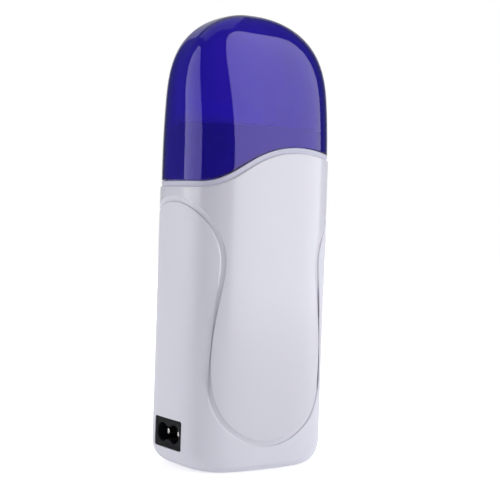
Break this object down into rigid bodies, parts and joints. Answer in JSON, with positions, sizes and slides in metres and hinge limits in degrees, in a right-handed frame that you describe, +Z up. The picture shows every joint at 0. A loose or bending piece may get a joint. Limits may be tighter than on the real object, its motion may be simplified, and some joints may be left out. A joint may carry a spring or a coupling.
{
  "type": "roll on wax heater",
  "caption": "Hand-held roll-on wax heater: moulded oval body with a grip groove and wave-shaped rim, translucent lift-off cap and a two-pin mains inlet.",
  "frame": {"origin": "bottom centre of the body, on the surface it stands on", "axes": "+Z up towards the cap; X across the broad faces, with the mains inlet on the -X narrow side; +Y towards the face with the level window and pilot light"},
  "size_m": [0.07, 0.046, 0.19],
  "materials": {
    "white_shell": "glossy white moulded plastic",
    "white_neck": "satin white moulded plastic",
    "violet_cap": "translucent deep blue-violet plastic, polished",
    "black_plastic": "satin black plastic",
    "pin_metal": "bright nickel plate",
    "terminal_brass": "stamped brass",
    "cup_aluminium": "drawn aluminium",
    "spring_steel": "brushed steel strip",
    "screw_steel": "zinc-plated steel",
    "fibre": "pressed fibre",
    "ceramic": "ceramic block in foil film",
    "mica": "mica sheet",
    "clear_plastic": "clear polished plastic",
    "red_lens": "translucent red lens",
    "circuit_board": "green circuit board",
    "resistor_body": "tan lacquer with colour rings",
    "brown_lead": "silicone sleeve",
    "blue_lead": "silicone sleeve",
    "white_lead": "silicone sleeve"
  },
  "bodies": {
    "heater": {"outer_housing": "white_shell", "base_cover": "white_shell", "base_screws": "screw_steel", "chamber_sleeve": "white_neck", "heating_cup": "cup_aluminium", "insulation_jacket": "fibre", "sleeve_screws": "screw_steel", "ptc_heater": "ceramic", "mica_sheet": "mica", "heater_clamp": "spring_steel", "clamp_screws": "screw_steel", "thermostat": "black_plastic", "thermal_fuse": "spring_steel", "inlet_housing": "black_plastic", "inlet_pins": "pin_metal", "inlet_terminals": "terminal_brass", "viewing_window": "clear_plastic", "pilot_lens": "red_lens", "lamp_board": "circuit_board", "pilot_lamp": "clear_plastic", "lamp_resistor": "resistor_body", "live_wire": "brown_lead", "neutral_wire": "blue_lead", "fuse_link": "brown_lead", "thermostat_link": "blue_lead", "lamp_wires": "white_lead"},
    "cap": {"cap": "violet_cap"}
  },
  "joints": [
    {"name": "cap_lift", "type": "slide", "parent": "heater", "child": "cap", "axis": [0, 0, 1], "range_m": [0, 0.08]}
  ]
}
